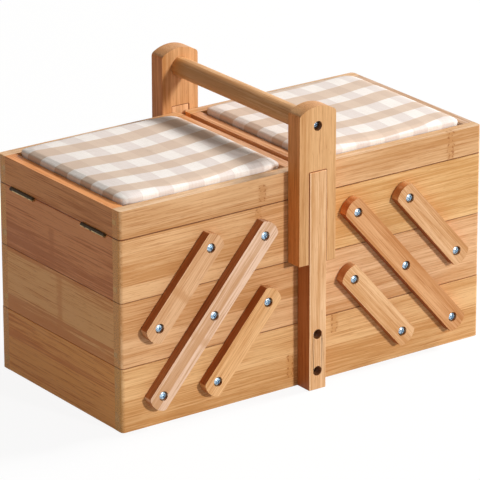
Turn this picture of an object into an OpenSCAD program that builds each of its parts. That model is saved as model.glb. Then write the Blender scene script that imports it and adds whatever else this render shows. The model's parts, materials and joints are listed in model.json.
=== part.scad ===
// Cantilever sewing carrier in bamboo: a full-length bottom box, two tiers of half-length
// trays that swing out to the left and right on parallel arms, and a padded lid on each side.
// X runs along the box, Y from front to back, Z up. The origin is the centre of the underside.
// Every piece of a half is drawn for the left half, and the right half is its mirror image.

/* [Boxes] */
// Length of the bottom box, and of the closed carrier
box_l = 350; // [320:1:420]
// Depth of the bottom box, front to back
box_d = 171; // [150:1:220]
// Thickness of the boards of all boxes and of the lid frames
board_t = 10; // [9:0.5:12]
// Height of the bottom box
bottom_h = 52.3; // [46:0.1:60]
// Height of the middle trays
middle_h = 53.2; // [47:0.1:60]
// Height of the top trays
top_h = 50.9; // [48:0.1:60]
// Gap under each closed tray
tier_gap = 0.4; // [0.3:0.1:1]
// Gap between the left and right halves
half_gap = 6; // [4:0.5:12]
// How far the trays and lids stay inside the face of the bottom box, to pass the posts
tray_inset = 0.4; // [0.3:0.1:1]
// Radius of the upright outer corners
corner_r = 3; // [1:0.5:5]

/* [Floors] */
// Thickness of the floor panels and lid panels
panel_t = 4; // [3:0.5:5]
// Height of a floor panel above the lower edge of its boards
floor_up = 8; // [5:0.5:10]
// Depth of the groove that holds a panel
groove_d = 5; // [3:0.5:6]
// Free space left at the bottom of a groove
groove_gap = 0.2; // [0.1:0.1:0.5]

/* [Lids] */
// Height of the lid frames
lid_h = 23.2; // [21:0.1:30]
// Gap between a closed lid and its tray
lid_gap = 0.6; // [0.5:0.1:1.2]
// Height of the lid panel above the lower edge of the lid frame
lid_panel_up = 11; // [9:0.5:12]
// Height of the pad's crown above the lid frame
pad_crown = 7.6; // [3:0.1:12]
// Gap between the pad and the wood around and under it
pad_gap = 0.3; // [0.2:0.1:1]
// Depth below the top of the lid frame at which the pad is widest
pad_belly = 1.8; // [1:0.1:3]
// How square the pad is at its edge: a higher value draws the corners in less
pad_squareness = 20; // [6:1:24]

/* [Arms] */
// Width of the arms
arm_w = 18.6; // [15:0.1:21]
// Thickness of the arms
arm_t = 8; // [6.5:0.1:9]
// Gap between an arm and the face of the bottom box
arm_gap = 0.3; // [0.2:0.1:1]
// Wood beyond the last pivot of an arm
arm_end = 11.6; // [9:0.1:13]
// Radius of the arched arm ends
arm_end_r = 14; // [12:0.5:20]
// Radius of the corners of the arm ends
arm_corner_r = 2.6; // [1:0.1:4]
// Lean of the closed arms from upright, towards the handle
arm_lean = 41.3; // [30:0.1:45]
// Distance of the lowest pivot of a long arm from the middle of the box
long_arm_x = 142; // [135:1:150]
// Distance between neighbouring arms along the box
arm_spacing = 51.4; // [42:0.1:54]
// Height of the pivots in the bottom box above its underside
bottom_pivot_up = 26; // [22:0.1:30]
// Height of the long arm's pivot in a middle tray above its underside
middle_pivot_up = 28.4; // [22:0.1:32]
// Height of the long arm's pivot in a top tray above its underside
top_pivot_up = 29.9; // [22:0.1:32]
// How far the lower short arm sits below the line of the long arm's pivots
lower_arm_drop = 0.5; // [0:0.1:2]
// How far the upper short arm sits above the line of the long arm's pivots
upper_arm_lift = 1.3; // [0:0.1:2]

/* [Screws] */
// Diameter of the screw heads
head_d = 7; // [6:0.1:7.4]
// Height of the screw heads
head_h = 2.6; // [2:0.1:2.8]
// Diameter of the recesses for the screw heads
recess_d = 8; // [7.8:0.1:9]
// Depth of the recess in an arm
arm_recess = 3; // [2.8:0.1:4]
// Depth of the screw recess in a post
post_recess = 9; // [5:0.5:10]
// Depth of the screw recess in a fork
fork_recess = 5.4; // [3:0.1:7]
// Diameter of the screw shanks
shank_d = 4; // [3:0.1:4.5]
// Radial gap between a screw and the hole of the arm that turns on it
pivot_play = 0.08; // [0.05:0.01:0.1]
// Radial gap between a screw and its pilot hole
pilot_play = 0.05; // [0.02:0.01:0.1]
// Wood left in a board beyond the tip of a screw
tip_cover = 1.5; // [1:0.1:2.5]
// Depth that a screw reaches into the end of the rod
rod_screw_reach = 22; // [15:1:30]

/* [Handle] */
// Width of the posts
post_w = 16.2; // [14:0.1:20]
// Thickness of the posts
post_t = 16; // [14:0.5:20]
// How far a post stands proud of its fork
post_proud = 1; // [0:0.1:2]
// Gap around the post in the slot of its fork
joint_gap = 0.2; // [0.1:0.1:0.4]
// Height of the lower screw in a post
post_screw_low = 15.4; // [12:0.1:20]
// Height of the upper screw in a post
post_screw_high = 46.5; // [40:0.1:47]
// Width of the forks
fork_w = 35; // [30:0.5:42]
// Radius of the arched fork tops
fork_top_r = 30; // [24:1:60]
// Radius of the corners of the fork tops
fork_corner_r = 4; // [2:0.5:6]
// Height of the front post's tongue above the lid frames
front_tongue_over = 1; // [0:0.5:8]
// Height of the back post's tongue above the lid frames
back_tongue_over = 5; // [0:0.5:8]
// Clear height between the lid frames and the rod
hand_gap = 29.75; // [28:0.25:50]
// Diameter of the rod
rod_d = 16.5; // [14:0.5:20]
// Wood of a fork above the rod
fork_cap = 7.75; // [6:0.25:12]
// Depth of the sockets for the rod ends
rod_socket = 3; // [2:0.5:5]
// Radial gap between the rod and its sockets
socket_play = 0.1; // [0.05:0.05:0.3]

/* [Hinges] */
// Length of a hinge
hinge_l = 32; // [26:1:40]
// Distance from the front or back of the box to the middle of a hinge
hinge_in = 35.5; // [32:0.5:45]
// Distance of the hinge axis outside the end of the box
hinge_out = 0.8; // [0.6:0.1:2]
// Outer diameter of the knuckles
knuckle_d = 3.2; // [3:0.1:4]
// Thickness of the leaves
leaf_t = 1; // [0.8:0.1:1.2]
// Width of the part of a leaf that lies on the wood
leaf_w = 8; // [6:0.5:8.5]
// Diameter of the hinge pins
pin_d = 1.6; // [1.4:0.1:1.8]
// Gap between the moving parts of a hinge
hinge_play = 0.2; // [0.15:0.05:0.3]

/* [Hidden] */
$fn = 48;

// Length by which a cutting tool overshoots the face it opens
over = 1;

// Colours as the photograph shows them
bamboo = [0.83, 0.62, 0.38];
bamboo_dark = [0.72, 0.47, 0.25];
bamboo_light = [0.87, 0.68, 0.45];
linen = [0.90, 0.84, 0.77];
zinc = [0.72, 0.76, 0.80];
brass = [0.45, 0.36, 0.20];

// Heights of the tiers
middle_z = bottom_h + tier_gap;
top_z = middle_z + middle_h + tier_gap;
lid_z = top_z + top_h + lid_gap;
lid_top = lid_z + lid_h;

// Places along X and Y
half_d = box_d / 2;
tray_half_d = half_d - tray_inset;
outer_x = -box_l / 2;
inner_x = -half_gap / 2;

// Pivots of the left half as [x, z]. The long arm runs through three of them, and each short
// arm stands beside it with the same step, so that the trays stay level.
lower_step = [tan(arm_lean), 1] * (middle_z + middle_pivot_up - bottom_pivot_up);
upper_step = [tan(arm_lean), 1] * (top_z + top_pivot_up - middle_z - middle_pivot_up);
long_bottom = [-long_arm_x, bottom_pivot_up];
long_middle = long_bottom + lower_step;
long_top = long_middle + upper_step;
short_bottom = long_bottom + [arm_spacing, -lower_arm_drop];
short_middle = short_bottom + lower_step;
short_upper = long_middle + [-arm_spacing, upper_arm_lift];
short_top = short_upper + upper_step;

// Arms and screws across Y
arm_face = half_d + arm_gap + arm_t;
head_play = 0.15;
screw_seat = arm_face - arm_recess + head_play;
pilot_over = 0.3;

// Handle heights
rod_z = lid_top + hand_gap + rod_d / 2;
fork_peak = rod_z + rod_d / 2 + fork_cap;
fork_t = post_t - post_proud;
rod_half_l = half_d + rod_socket;

// Hinge axis of the left lid as [x, z], just outside the end of the box. Both leaves lie
// between the lid and the tray, in a recess in the rim of the tray.
hinge_axis = [outer_x - hinge_out, lid_z - leaf_t - hinge_play / 2];
hinge_recess = 2 * leaf_t + hinge_play - lid_gap;
knuckle_count = 5;
// Length by which a hinge pin stands out of its knuckles
pin_over = 0.4;

// A rectangle in plan with round corners, drawn with true arcs
module round_rect(x0, x1, half, r) {
    translate([x0 + r, -half]) square([x1 - x0 - 2 * r, 2 * half]);
    translate([x0, -half + r]) square([x1 - x0, 2 * half - 2 * r]);
    for (x = [x0 + r, x1 - r], y = [-half + r, half - r])
        translate([x, y]) circle(r);
}

// A bar from z0 up to a peak, whose top is an arch with round shoulders
module arched_top(w, z0, peak, arch_r, shoulder_r) {
    shoulder_x = w / 2 - shoulder_r;
    shoulder_z = peak - arch_r + sqrt(pow(arch_r - shoulder_r, 2) - pow(shoulder_x, 2));
    arch_x = shoulder_x * arch_r / (arch_r - shoulder_r);
    translate([-w / 2, z0]) square([w, shoulder_z - z0]);
    for (x = [-shoulder_x, shoulder_x])
        translate([x, shoulder_z]) circle(shoulder_r);
    intersection() {
        translate([0, peak - arch_r]) circle(arch_r, $fn = 128);
        translate([-arch_x, z0]) square([2 * arch_x, peak - z0]);
    }
}

// Stands a drawing in X and Z upright, as a plate of thickness t with its face at -face
module plate(face, t) {
    translate([0, t - face, 0])
        rotate([90, 0, 0])
            linear_extrude(t)
                children();
}

// Repeats a front piece on the back of the carrier
module front_and_back() {
    children();
    mirror([0, 1, 0])
        children();
}

module right_half() {
    mirror([1, 0, 0])
        children();
}

// A round cutter along Y with its mouth at -face, reaching inwards by depth
module drill(at, face, depth, d) {
    translate([at[0], -face - over, at[1]])
        rotate([-90, 0, 0])
            cylinder(d = d, h = depth + over);
}

// Pilot holes for screws in a board with its face at -face
module pilots(points, face) {
    for (p = points)
        drill(p, face, board_t - tip_cover + pilot_over, shank_d + 2 * pilot_play);
}

// The groove for a panel, along the inside of a front board
module long_groove(x0, x1, half, z) {
    translate([x0 - over, -half + board_t - groove_d, z])
        cube([x1 - x0 + 2 * over, groove_d + over, panel_t]);
}

// A front board of a tier or of a lid frame, which runs its full length
module front_board(x0, x1, half, z, h, groove_up, points) {
    difference() {
        intersection() {
            translate([0, 0, z])
                linear_extrude(h)
                    round_rect(x0, x1, half, corner_r);
            translate([x0, -half, z])
                cube([x1 - x0, board_t, h]);
        }
        long_groove(x0, x1, half, z + groove_up);
        pilots(points, half);
    }
}

// An end board, which stands between the front and the back board. Its outer face is at x,
// and its inner face lies towards side.
module end_board(x, side, half, z, h, groove_up) {
    wide = half - board_t;
    x0 = side > 0 ? x : x - board_t;
    groove_x = side > 0 ? x + board_t - groove_d : x - board_t - over;
    difference() {
        translate([x0, -wide, z])
            cube([board_t, 2 * wide, h]);
        translate([groove_x, -wide - over, z + groove_up])
            cube([groove_d + over, 2 * wide + 2 * over, panel_t]);
    }
}

// A panel in the grooves of its four boards. Its front and back edges run on in the long
// grooves and show on the ends of the box.
module panel(x0, x1, half, z) {
    inset = board_t - groove_d + groove_gap;
    translate([x0 + inset, -half + inset, z])
        cube([x1 - x0 - 2 * inset, 2 * (half - inset), panel_t]);
    front_and_back()
        translate([x0, -half + inset, z])
            cube([x1 - x0, groove_d - groove_gap, panel_t]);
}

// Bottom box
module base_front_board() {
    mirrored = [for (p = [long_bottom, short_bottom]) [-p[0], p[1]]];
    post_screws = [[0, post_screw_low], [0, post_screw_high]];
    color(bamboo)
        front_board(outer_x, -outer_x, half_d, 0, bottom_h, floor_up,
            concat([long_bottom, short_bottom], mirrored, post_screws));
}

module base_end_board() {
    color(bamboo_dark)
        end_board(outer_x, 1, half_d, 0, bottom_h, floor_up);
}

module base_floor() {
    color(bamboo_light)
        panel(outer_x, -outer_x, half_d, floor_up);
}

// Middle trays
module middle_front_board() {
    color(bamboo)
        front_board(outer_x, inner_x, tray_half_d, middle_z, middle_h, floor_up,
            [long_middle, short_middle, short_upper]);
}

module middle_outer_board() {
    color(bamboo_dark)
        end_board(outer_x, 1, tray_half_d, middle_z, middle_h, floor_up);
}

module middle_inner_board() {
    color(bamboo_dark)
        end_board(inner_x, -1, tray_half_d, middle_z, middle_h, floor_up);
}

module middle_floor() {
    color(bamboo_light)
        panel(outer_x, inner_x, tray_half_d, middle_z + floor_up);
}

// Top trays
module top_front_board() {
    color(bamboo)
        front_board(outer_x, inner_x, tray_half_d, top_z, top_h, floor_up, [long_top, short_top]);
}

module top_outer_board() {
    color(bamboo_dark)
        difference() {
            end_board(outer_x, 1, tray_half_d, top_z, top_h, floor_up);
            hinge_recesses();
        }
}

module top_inner_board() {
    color(bamboo_dark)
        end_board(inner_x, -1, tray_half_d, top_z, top_h, floor_up);
}

module top_floor() {
    color(bamboo_light)
        panel(outer_x, inner_x, tray_half_d, top_z + floor_up);
}

// Lids
module lid_front_rail() {
    color(bamboo_light)
        front_board(outer_x, inner_x, tray_half_d, lid_z, lid_h, lid_panel_up, []);
}

module lid_outer_rail() {
    color(bamboo)
        difference() {
            end_board(outer_x, 1, tray_half_d, lid_z, lid_h, lid_panel_up);
            at_hinges()
                barrel_room();
        }
}

module lid_inner_rail() {
    color(bamboo)
        end_board(inner_x, -1, tray_half_d, lid_z, lid_h, lid_panel_up);
}

module lid_panel() {
    color(bamboo_light)
        panel(outer_x, inner_x, tray_half_d, lid_z + lid_panel_up);
}

// The pad is a stack of rounded squares, drawn in at its foot and towards its crown. Each
// ring is [share of the full width, height above the foot].
pad_foot_z = lid_z + lid_panel_up + panel_t + pad_gap;
pad_belly_h = lid_top - pad_belly - pad_foot_z;
pad_rise = pad_crown + pad_belly;
pad_flatness = 14;
pad_steps = [1, 0.995, 0.985, 0.97, 0.95, 0.92, 0.88, 0.8, 0.6, 0.3];
pad_rings = concat(
    [[0.95, 0], [0.985, 0.4 * pad_belly_h]],
    [for (s = pad_steps) [s, pad_belly_h + pad_rise * sqrt(1 - pow(s, pad_flatness))]]
);
pad_corner_steps = 7;
pad_around = 8 * pad_corner_steps;
pad_centre_x = (outer_x + inner_x) / 2;
pad_half_l = (inner_x - outer_x) / 2 - board_t - pad_gap;
pad_half_w = tray_half_d - board_t - pad_gap;

// Direction of point k around the pad, with the points gathered at the corners
function pad_angle(k) =
    let (quarter = floor(k / (2 * pad_corner_steps)),
         u = (k - 2 * pad_corner_steps * quarter) / pad_corner_steps - 1)
    90 * quarter + 45 + 45 * sign(u) * pow(abs(u), 1.6);

// A square grows rounder from the edge of the pad to its crown
function pad_power(s) = 3 + (pad_squareness - 3) * pow(s, 4);

function pad_point(ring, k) =
    let (a = pad_angle(k),
         n = pad_power(ring[0]),
         reach = ring[0] / pow(pow(abs(cos(a)), n) + pow(abs(sin(a)), n), 1 / n))
    [pad_centre_x + pad_half_l * reach * cos(a), pad_half_w * reach * sin(a),
     pad_foot_z + ring[1]];

module lid_pad() {
    last = len(pad_rings) - 1;
    crown = len(pad_rings) * pad_around;
    foot = crown + 1;
    points = concat(
        [for (ring = pad_rings, k = [0:pad_around - 1]) pad_point(ring, k)],
        [[pad_centre_x, 0, pad_foot_z + pad_belly_h + pad_rise], [pad_centre_x, 0, pad_foot_z]]
    );
    side_a = [for (i = [0:last - 1], k = [0:pad_around - 1])
        let (n = (k + 1) % pad_around)
        [i * pad_around + k, (i + 1) * pad_around + k, (i + 1) * pad_around + n]];
    side_b = [for (i = [0:last - 1], k = [0:pad_around - 1])
        let (n = (k + 1) % pad_around)
        [i * pad_around + k, (i + 1) * pad_around + n, i * pad_around + n]];
    top = [for (k = [0:pad_around - 1])
        [last * pad_around + k, crown, last * pad_around + (k + 1) % pad_around]];
    bottom = [for (k = [0:pad_around - 1]) [k, (k + 1) % pad_around, foot]];
    color(linen)
        polyhedron(points, concat(side_a, side_b, top, bottom));
}

// One arm on the front face, from its lowest to its highest pivot
module arm(points) {
    first = points[0];
    last = points[len(points) - 1];
    length = norm(last - first);
    difference() {
        plate(arm_face, arm_t)
            translate(first)
                rotate(-arm_lean)
                    arm_outline(length);
        for (p = points) {
            drill(p, arm_face, arm_t + over, shank_d + 2 * pivot_play);
            drill(p, arm_face, arm_recess, recess_d);
        }
    }
}

module arm_outline(length) {
    middle = length / 2;
    translate([0, middle])
        for (turn = [0, 180])
            rotate(turn)
                arched_top(arm_w, -over, middle + arm_end, arm_end_r, arm_corner_r);
}

module long_arms() {
    color(bamboo_light)
        front_and_back()
            arm([long_bottom, long_middle, long_top]);
}

module upper_arms() {
    color(bamboo_light)
        front_and_back()
            arm([short_upper, short_top]);
}

module lower_arms() {
    color(bamboo_light)
        front_and_back()
            arm([short_bottom, short_middle]);
}

// A screw with a domed head and a cross recess. Its head bears on z = 0 and its shank runs
// down from there.
module screw(shank_l) {
    rim_h = head_h * 0.55;
    dome_h = head_h - rim_h;
    dome_r = (pow(head_d / 2, 2) + pow(dome_h, 2)) / (2 * dome_h);
    cross_l = head_d * 0.6;
    cross_w = head_d * 0.16;
    cross_d = head_h * 0.6;
    tip_l = shank_d * 0.8;
    difference() {
        union() {
            cylinder(d = head_d, h = rim_h);
            intersection() {
                translate([0, 0, head_h - dome_r])
                    sphere(dome_r, $fn = 96);
                cylinder(d = head_d, h = head_h + over);
            }
        }
        for (turn = [0, 90])
            rotate(turn + 20)
                translate([-cross_l / 2, -cross_w / 2, head_h - cross_d])
                    cube([cross_l, cross_w, cross_d + over]);
    }
    translate([0, 0, tip_l - shank_l])
        cylinder(d = shank_d, h = shank_l - tip_l);
    translate([0, 0, -shank_l])
        cylinder(d1 = shank_d / 5, d2 = shank_d, h = tip_l);
}

// A screw driven into the front, with its head bearing at -seat and its tip at -tip
module front_screw(at, seat, tip) {
    translate([at[0], -seat, at[1]])
        rotate([90, 0, 0])
            screw(seat - tip);
}

module pivot_screws(points, half) {
    color(zinc)
        front_and_back()
            for (p = points)
                front_screw(p, screw_seat, half - board_t + tip_cover);
}

module base_pivot_screws() {
    pivot_screws([long_bottom, short_bottom], half_d);
    right_half()
        pivot_screws([long_bottom, short_bottom], half_d);
}

module middle_pivot_screws() {
    pivot_screws([long_middle, short_middle, short_upper], tray_half_d);
}

module top_pivot_screws() {
    pivot_screws([long_top, short_top], tray_half_d);
}

// Handle. The top of the post is a tongue in a slot of the fork.
module post(tongue_top) {
    face = half_d + post_t;
    color(bamboo)
        difference() {
            plate(face, post_t)
                translate([-post_w / 2, 0])
                    square([post_w, tongue_top]);
            for (z = [post_screw_low, post_screw_high]) {
                drill([0, z], face, post_recess, recess_d);
                drill([0, z], face, post_t + over, shank_d + 2 * pilot_play);
            }
        }
}

module fork(tongue_top) {
    face = half_d + fork_t;
    slot_w = post_w + 2 * joint_gap;
    color(bamboo)
        difference() {
            plate(face, fork_t)
                difference() {
                    arched_top(fork_w, top_z, fork_peak, fork_top_r, fork_corner_r);
                    translate([-slot_w / 2, top_z - over])
                        square([slot_w, tongue_top + joint_gap - top_z + over]);
                }
            drill([0, rod_z], face, fork_recess, recess_d);
            drill([0, rod_z], face, fork_t + over, shank_d + 2 * pilot_play);
            translate([0, -rod_half_l, rod_z])
                rotate([-90, 0, 0])
                    cylinder(d = rod_d + 2 * socket_play, h = rod_socket + over);
        }
}

module handle_rod() {
    color(bamboo)
        difference() {
            translate([0, -rod_half_l, rod_z])
                rotate([-90, 0, 0])
                    cylinder(d = rod_d, h = 2 * rod_half_l, $fn = 96);
            front_and_back()
                drill([0, rod_z], rod_half_l, rod_screw_reach + pilot_over, shank_d + 2 * pilot_play);
        }
}

module handle_screws() {
    color(zinc)
        front_and_back() {
            for (z = [post_screw_low, post_screw_high])
                front_screw([0, z], half_d + post_t - post_recess, half_d - board_t + tip_cover);
            front_screw([0, rod_z], half_d + fork_t - fork_recess, rod_half_l - rod_screw_reach);
        }
}

// Hinges
module at_hinges() {
    for (y = [-half_d + hinge_in, half_d - hinge_in])
        translate([0, y, 0])
            children();
}

// Room for the round barrel of a hinge at the edge of the wood
module barrel_room() {
    translate([hinge_axis[0], -hinge_l / 2 - pin_over - hinge_play, hinge_axis[1]])
        rotate([-90, 0, 0])
            cylinder(d = knuckle_d + 2 * hinge_play, h = hinge_l + 2 * (pin_over + hinge_play));
}

module hinge_recesses() {
    at_hinges() {
        translate([outer_x - over, -hinge_l / 2 - hinge_play, top_z + top_h - hinge_recess])
            cube([leaf_w + hinge_play + over, hinge_l + 2 * hinge_play, hinge_recess + over]);
        barrel_room();
    }
}

// The knuckles of one leaf: those with an even place for the tray leaf, odd for the lid leaf
module knuckles(places, d, play) {
    pitch = hinge_l / knuckle_count;
    for (i = places)
        translate([hinge_axis[0], -hinge_l / 2 + i * pitch + play / 2, hinge_axis[1]])
            rotate([-90, 0, 0])
                cylinder(d = d, h = pitch - play);
}

module leaf(own, others, z0) {
    difference() {
        union() {
            knuckles(own, knuckle_d, hinge_play);
            translate([hinge_axis[0], -hinge_l / 2, z0])
                cube([outer_x + leaf_w - hinge_axis[0], hinge_l, leaf_t]);
        }
        knuckles(others, knuckle_d + 2 * hinge_play, -hinge_play);
        translate([hinge_axis[0], -hinge_l / 2 - over, hinge_axis[1]])
            rotate([-90, 0, 0])
                cylinder(d = pin_d + 2 * pivot_play, h = hinge_l + 2 * over);
    }
}

tray_knuckles = [0, 2, 4];
lid_knuckles = [1, 3];

module tray_hinge_leaves() {
    color(brass)
        at_hinges()
            leaf(tray_knuckles, lid_knuckles, hinge_axis[1] - hinge_play / 2 - leaf_t);
}

module lid_hinge_leaves() {
    color(brass)
        at_hinges()
            leaf(lid_knuckles, tray_knuckles, hinge_axis[1] + hinge_play / 2);
}

module hinge_pins() {
    color(brass)
        at_hinges()
            translate([hinge_axis[0], -hinge_l / 2 - pin_over, hinge_axis[1]])
                rotate([-90, 0, 0])
                    cylinder(d = pin_d, h = hinge_l + 2 * pin_over);
}

// Bottom box
base_front_board();
mirror([0, 1, 0]) base_front_board();  // base_back_board
base_end_board();  // base_left_board
right_half() base_end_board();  // base_right_board
base_floor();
// Middle trays
middle_front_board();  // left_middle_front_board
mirror([0, 1, 0]) middle_front_board();  // left_middle_back_board
middle_outer_board();  // left_middle_outer_board
middle_inner_board();  // left_middle_inner_board
middle_floor();  // left_middle_floor
right_half() middle_front_board();  // right_middle_front_board
rotate(180) middle_front_board();  // right_middle_back_board
right_half() middle_outer_board();  // right_middle_outer_board
right_half() middle_inner_board();  // right_middle_inner_board
right_half() middle_floor();  // right_middle_floor
// Top trays
top_front_board();  // left_top_front_board
mirror([0, 1, 0]) top_front_board();  // left_top_back_board
top_outer_board();  // left_top_outer_board
top_inner_board();  // left_top_inner_board
top_floor();  // left_top_floor
right_half() top_front_board();  // right_top_front_board
rotate(180) top_front_board();  // right_top_back_board
right_half() top_outer_board();  // right_top_outer_board
right_half() top_inner_board();  // right_top_inner_board
right_half() top_floor();  // right_top_floor
// Lids
lid_front_rail();  // left_lid_front_rail
mirror([0, 1, 0]) lid_front_rail();  // left_lid_back_rail
lid_outer_rail();  // left_lid_outer_rail
lid_inner_rail();  // left_lid_inner_rail
lid_panel();  // left_lid_panel
lid_pad();  // left_lid_pad
right_half() lid_front_rail();  // right_lid_front_rail
rotate(180) lid_front_rail();  // right_lid_back_rail
right_half() lid_outer_rail();  // right_lid_outer_rail
right_half() lid_inner_rail();  // right_lid_inner_rail
right_half() lid_panel();  // right_lid_panel
right_half() lid_pad();  // right_lid_pad
// Arms
long_arms();  // left_long_arms
upper_arms();  // left_upper_arms
lower_arms();  // left_lower_arms
right_half() long_arms();  // right_long_arms
right_half() upper_arms();  // right_upper_arms
right_half() lower_arms();  // right_lower_arms
// Handle
post(lid_top + front_tongue_over);  // front_post
mirror([0, 1, 0]) post(lid_top + back_tongue_over);  // back_post
fork(lid_top + front_tongue_over);  // front_fork
mirror([0, 1, 0]) fork(lid_top + back_tongue_over);  // back_fork
handle_rod();
handle_screws();
// Pivot screws
base_pivot_screws();
middle_pivot_screws();  // left_middle_pivot_screws
right_half() middle_pivot_screws();  // right_middle_pivot_screws
top_pivot_screws();  // left_top_pivot_screws
right_half() top_pivot_screws();  // right_top_pivot_screws
// Hinges
tray_hinge_leaves();  // left_tray_hinge_leaves
lid_hinge_leaves();  // left_lid_hinge_leaves
hinge_pins();  // left_hinge_pins
right_half() tray_hinge_leaves();  // right_tray_hinge_leaves
right_half() lid_hinge_leaves();  // right_lid_hinge_leaves
right_half() hinge_pins();  // right_hinge_pins
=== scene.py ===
# The looks of the sewing carrier: lacquered bamboo, gingham pads, zinc screws, bronzed hinges.
# Lengths are in metres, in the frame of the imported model.
import json
import math

import bpy
from mathutils import Matrix, Vector, noise


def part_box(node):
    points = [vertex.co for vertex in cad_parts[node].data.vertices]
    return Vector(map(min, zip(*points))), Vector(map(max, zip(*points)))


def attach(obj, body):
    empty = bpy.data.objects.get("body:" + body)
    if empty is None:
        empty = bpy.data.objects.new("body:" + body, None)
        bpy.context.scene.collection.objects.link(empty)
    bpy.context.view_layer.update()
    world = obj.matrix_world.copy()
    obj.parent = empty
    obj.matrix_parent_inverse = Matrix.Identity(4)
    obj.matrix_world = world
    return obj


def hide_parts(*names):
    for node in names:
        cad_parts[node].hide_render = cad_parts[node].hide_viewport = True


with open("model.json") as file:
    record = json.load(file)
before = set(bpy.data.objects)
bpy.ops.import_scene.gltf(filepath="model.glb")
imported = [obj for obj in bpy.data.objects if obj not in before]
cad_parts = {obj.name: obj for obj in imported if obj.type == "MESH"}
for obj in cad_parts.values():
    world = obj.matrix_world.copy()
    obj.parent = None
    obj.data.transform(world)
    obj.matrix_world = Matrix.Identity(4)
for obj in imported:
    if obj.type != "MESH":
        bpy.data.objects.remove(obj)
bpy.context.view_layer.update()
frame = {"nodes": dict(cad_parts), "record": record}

MM = 0.001
X, Y, Z = (1, 0, 0), (0, 1, 0), (0, 0, 1)

# Camera, fitted to the corners, seams and screws of the photograph. Lens and sensor are in mm.
CAMERA_AZIMUTH = math.radians(-35.659)
CAMERA_ELEVATION = math.radians(20.323)
CAMERA_ROLL = math.radians(-0.130)
CAMERA_DISTANCE = 3.1879
CAMERA_LENS = 295.31
CAMERA_SENSOR = 36
CAMERA_NEAR = 0.05
CAMERA_FAR = 50
AIM_RIGHT = -1.946 * MM
AIM_UP = 89.252 * MM

# The two halves, by the sign of x on their side, and how far their arms lean at rest, which is
# half of their swing
SIDES = {"left": -1, "right": 1}
SWING = frame["record"]["behaviour"]["joints"][0]
ARM_LEAN = math.radians(SWING["range_deg"][1] / 2)


def linear(red, green, blue):
    """A colour given as screen values from 0 to 255, as the shader's linear values."""
    def channel(value):
        value = value / 255
        if value <= 0.04045:
            return value / 12.92
        return ((value + 0.055) / 1.055) ** 2.4
    return (channel(red), channel(green), channel(blue), 1.0)


def shade(colour, share):
    """A colour with each of its three channels multiplied by its own share."""
    return tuple(min(1.0, c * m) for c, m in zip(colour[:3], share)) + (1.0,)


def place_camera():
    sin_a, cos_a = math.sin(CAMERA_AZIMUTH), math.cos(CAMERA_AZIMUTH)
    sin_e, cos_e = math.sin(CAMERA_ELEVATION), math.cos(CAMERA_ELEVATION)
    back = Vector((sin_a * cos_e, -cos_a * cos_e, sin_e))
    level = Vector((cos_a, sin_a, 0))
    upright = back.cross(level)
    right = level * math.cos(CAMERA_ROLL) + upright * math.sin(CAMERA_ROLL)
    up = upright * math.cos(CAMERA_ROLL) - level * math.sin(CAMERA_ROLL)
    place = right * AIM_RIGHT + up * AIM_UP + back * CAMERA_DISTANCE
    data = bpy.data.cameras.new("camera")
    data.sensor_width = CAMERA_SENSOR
    data.lens = CAMERA_LENS
    data.clip_start = CAMERA_NEAR
    data.clip_end = CAMERA_FAR
    camera = bpy.data.objects.new("camera", data)
    bpy.context.scene.collection.objects.link(camera)
    camera.matrix_world = Matrix((
        (right.x, up.x, back.x, place.x),
        (right.y, up.y, back.y, place.y),
        (right.z, up.z, back.z, place.z),
        (0, 0, 0, 1),
    ))
    bpy.context.scene.camera = camera


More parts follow.
